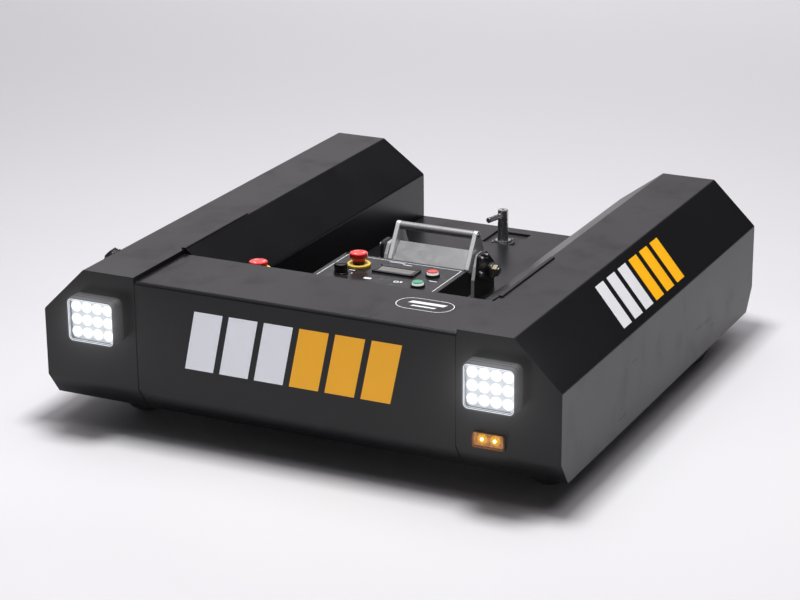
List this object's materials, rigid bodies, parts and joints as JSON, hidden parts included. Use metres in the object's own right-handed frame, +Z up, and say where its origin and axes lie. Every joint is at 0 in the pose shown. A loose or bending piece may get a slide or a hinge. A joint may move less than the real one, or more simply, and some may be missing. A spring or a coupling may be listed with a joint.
{
  "type": "aircraft pushback tractor",
  "caption": "Low remote-controlled aircraft tug: two long side pods joined by a front beam, a deck with a tilting wheel stop, control console and tow pin, on drive wheels and castors.",
  "frame": {"origin": "on the floor, below the middle of the box around the whole tractor", "axes": "+Z up, +Y from the lamps at the front to the open rear, +X across to the side with the amber lamp"},
  "size_m": [1.12, 1.142, 0.3384],
  "materials": {
    "pod_paint": "satin charcoal powder coat",
    "deck_paint": "smooth semi-gloss charcoal coat",
    "chassis_paint": "satin black coat",
    "console_paint": "satin black coat",
    "panel_laminate": "satin printed laminate with a white border line",
    "trim_rubber": "satin black rubber strip",
    "hitch_steel": "black coat, worn in the mouth",
    "pin_steel": "bare turned steel, dulled",
    "stop_steel": "grey metallic coat",
    "bearing_iron": "black cast iron",
    "shaft_steel": "zinc plated",
    "display_bezel": "black bezel with a grey-green screen",
    "ring_yellow": "moulded yellow plastic",
    "head_red": "moulded red plastic",
    "knob_black": "moulded black plastic",
    "button_red": "red cap on a white skirt in a black bezel",
    "button_green": "green cap on a white skirt in a black bezel",
    "lamp_black": "die-cast housing, black coat",
    "lamp_glass": "clear lens over lit reflectors",
    "marker_amber": "amber lens, lit",
    "socket_plastic": "moulded black plastic",
    "drive_tyre": "solid black rubber",
    "rim_paint": "grey coat",
    "gearbox_iron": "dark grey coat",
    "battery_case": "moulded battery case",
    "castor_zinc": "zinc plated pressed steel",
    "castor_rubber": "black rubber tread"
  },
  "bodies": {
    "chassis": {"pod_cover_left": "pod_paint", "pod_cover_right": "pod_paint", "front_beam_cover": "pod_paint", "deck_plate": "deck_paint", "rear_apron": "deck_paint", "well_tray": "deck_paint", "floor_pan": "chassis_paint", "castor_shelves": "chassis_paint", "stop_brackets": "chassis_paint", "stop_pedestal": "chassis_paint", "console_box": "console_paint", "console_panel": "panel_laminate", "crown_strips": "trim_rubber", "hitch_jaw": "hitch_steel", "stop_bearings": "bearing_iron", "stop_shaft": "shaft_steel", "display": "display_bezel", "stop_button_rings": "ring_yellow", "stop_button_heads": "head_red", "selector_knob": "knob_black", "push_button_red": "button_red", "push_button_green": "button_green", "work_lamp_housing_left": "lamp_black", "work_lamp_housing_right": "lamp_black", "marker_lamp_base": "lamp_black", "work_lamp_lens_left": "lamp_glass", "work_lamp_lens_right": "lamp_glass", "marker_lamp_lens": "marker_amber", "charge_socket": "socket_plastic", "gearboxes": "gearbox_iron", "drive_motors": "gearbox_iron", "battery_blocks": "battery_case", "castor_plates": "castor_zinc"},
    "wheel_stop": {"stop_arms": "stop_steel", "stop_bar": "stop_steel", "stop_plate": "stop_steel"},
    "tow_pin": {"tow_pin": "pin_steel", "tow_pin_handle": "pin_steel"},
    "drive_wheel_left": {"drive_tyre_left": "drive_tyre", "drive_rim_left": "rim_paint"},
    "drive_wheel_right": {"drive_tyre_right": "drive_tyre", "drive_rim_right": "rim_paint"},
    "castor_swivel_left": {"castor_fork_left": "castor_zinc"},
    "castor_swivel_right": {"castor_fork_right": "castor_zinc"},
    "castor_wheel_left": {"castor_wheel_left": "castor_rubber"},
    "castor_wheel_right": {"castor_wheel_right": "castor_rubber"}
  },
  "joints": [
    {"name": "wheel_stop_tilt", "type": "hinge", "parent": "chassis", "child": "wheel_stop", "pos_m": [0, 0.143, 0.208], "axis": [-1, 0, 0], "range_deg": [-20, 90]},
    {"name": "tow_pin_lift", "type": "slide", "parent": "chassis", "child": "tow_pin", "axis": [0, 0, 1], "range_m": [0, 0.06]},
    {"name": "drive_wheel_left_spin", "type": "hinge", "parent": "chassis", "child": "drive_wheel_left", "pos_m": [-0.497, 0.327, 0.093], "axis": [1, 0, 0], "continuous": true},
    {"name": "drive_wheel_right_spin", "type": "hinge", "parent": "chassis", "child": "drive_wheel_right", "pos_m": [0.497, 0.327, 0.093], "axis": [1, 0, 0], "continuous": true},
    {"name": "castor_left_swivel", "type": "hinge", "parent": "chassis", "child": "castor_swivel_left", "pos_m": [-0.449, -0.399, 0.12], "axis": [0, 0, 1], "continuous": true},
    {"name": "castor_left_roll", "type": "hinge", "parent": "castor_swivel_left", "child": "castor_wheel_left", "pos_m": [-0.417, -0.399, 0.05], "axis": [0, 1, 0], "continuous": true},
    {"name": "castor_right_swivel", "type": "hinge", "parent": "chassis", "child": "castor_swivel_right", "pos_m": [0.449, -0.399, 0.12], "axis": [0, 0, 1], "continuous": true},
    {"name": "castor_right_roll", "type": "hinge", "parent": "castor_swivel_right", "child": "castor_wheel_right", "pos_m": [0.481, -0.399, 0.05], "axis": [0, 1, 0], "continuous": true}
  ]
}
